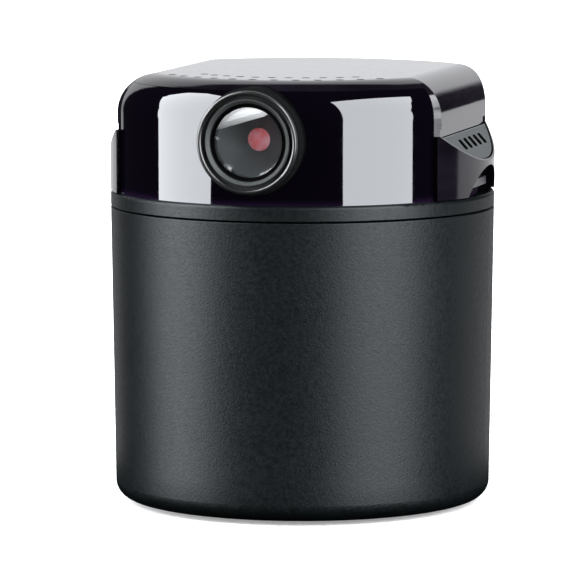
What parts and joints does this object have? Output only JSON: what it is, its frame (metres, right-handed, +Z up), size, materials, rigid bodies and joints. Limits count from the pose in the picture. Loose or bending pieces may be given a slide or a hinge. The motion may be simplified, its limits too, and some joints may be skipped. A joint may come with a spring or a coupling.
{
  "type": "dash camera",
  "caption": "Small round dash camera: battery base with a turning head, dark front window, wide lens, sound holes, side vents, card and charging ports.",
  "frame": {"origin": "centre of the flat foot pad's underside, on the axis of the round base", "axes": "+Z up along the base's and the swivel's axis; the lens looks along -Y; the card port faces +X and the charging port -X"},
  "size_m": [0.05, 0.0522, 0.0563],
  "materials": {
    "foot_rubber": "matte moulded rubber",
    "body_matte": "fine pebbled spray-textured plastic",
    "magnet_plate": "plated",
    "inner_plastic": "plain moulded",
    "screw_steel": "zinc plated",
    "cell_wrap": "laminated foil pouch",
    "foam": "open-cell foam",
    "circuit_board": "solder-masked glass laminate",
    "connector_plastic": "moulded nylon",
    "glide_plastic": "low-friction acetal",
    "spring_steel": "tempered strip",
    "window_violet": "dark violet infrared-passing acrylic",
    "cover_gloss": "high-gloss moulded",
    "vent_grey": "satin moulded",
    "port_gloss": "gloss moulded",
    "socket_steel": "tin plated",
    "card_plastic": "moulded card",
    "bezel_black": "semi-gloss",
    "trim_grey": "satin machined look",
    "lens_glass": "coated optical glass",
    "coated_glass": "red-coated optical glass",
    "barrel_black": "ribbed anti-glare barrel",
    "chip_black": "epoxy package",
    "flex_amber": "polyimide film",
    "heat_aluminium": "extruded",
    "speaker_film": "formed film",
    "mesh_fabric": "woven acoustic mesh",
    "lamp_resin": "dark infrared resin",
    "button_gloss": "gloss moulded",
    "light_rod": "clear light rod",
    "lead_sleeve": "sleeved twisted lead"
  },
  "bodies": {
    "base": {"foot_pad": "foot_rubber", "body_shell": "body_matte", "base_magnet": "magnet_plate", "battery_cradle": "inner_plastic", "cradle_screws": "screw_steel", "battery_cell_front": "cell_wrap", "battery_cell_rear": "cell_wrap", "battery_foam": "foam", "battery_board": "circuit_board", "battery_plug": "connector_plastic", "swivel_deck": "inner_plastic", "deck_screws": "screw_steel", "glide_ring": "glide_plastic"},
    "head": {"head_chassis": "inner_plastic", "neck_clip_ring": "spring_steel", "wave_washer": "spring_steel", "collar_ring": "body_matte", "front_window": "window_violet", "top_cover": "cover_gloss", "cover_screws": "screw_steel", "vent_panel_left": "vent_grey", "vent_panel_right": "vent_grey", "usb_port_frame": "port_gloss", "usb_socket": "socket_steel", "usb_tongue": "connector_plastic", "card_port_frame": "port_gloss", "card_socket": "socket_steel", "lens_bezel": "bezel_black", "lens_trim_ring": "trim_grey", "lens_front_glass": "lens_glass", "lens_barrel": "barrel_black", "inner_lens": "coated_glass", "aperture_stop": "barrel_black", "rear_lens": "lens_glass", "lens_holder": "inner_plastic", "infrared_filter": "coated_glass", "image_sensor": "chip_black", "sensor_board": "circuit_board", "ribbon_cable": "flex_amber", "main_board": "circuit_board", "board_screws": "screw_steel", "processor": "chip_black", "heat_spreader": "heat_aluminium", "wireless_module": "socket_steel", "antenna_strip": "flex_amber", "microphone": "socket_steel", "speaker_frame": "magnet_plate", "speaker_cone": "speaker_film", "speaker_gasket": "foam", "sound_mesh": "mesh_fabric", "lamp_board_left": "circuit_board", "lamp_board_right": "circuit_board", "infrared_lamps_left": "lamp_resin", "infrared_lamps_right": "lamp_resin", "button_board": "circuit_board", "button_switch": "connector_plastic", "status_light": "light_rod", "battery_lead": "lead_sleeve"},
    "memory_card": {"memory_card": "card_plastic"},
    "power_button": {"power_button": "button_gloss"}
  },
  "joints": [
    {"name": "head_swivel", "type": "hinge", "parent": "base", "child": "head", "pos_m": [0, 0, 0.0369], "axis": [0, 0, 1], "range_deg": [-168, 168]},
    {"name": "memory_card_slide", "type": "slide", "parent": "head", "child": "memory_card", "axis": [1, 0, 0], "range_m": [0, 0.012]},
    {"name": "power_button_press", "type": "slide", "parent": "head", "child": "power_button", "axis": [0, -1, 0], "range_m": [0, 0.0003], "stiffness_N_per_m": 1500}
  ]
}
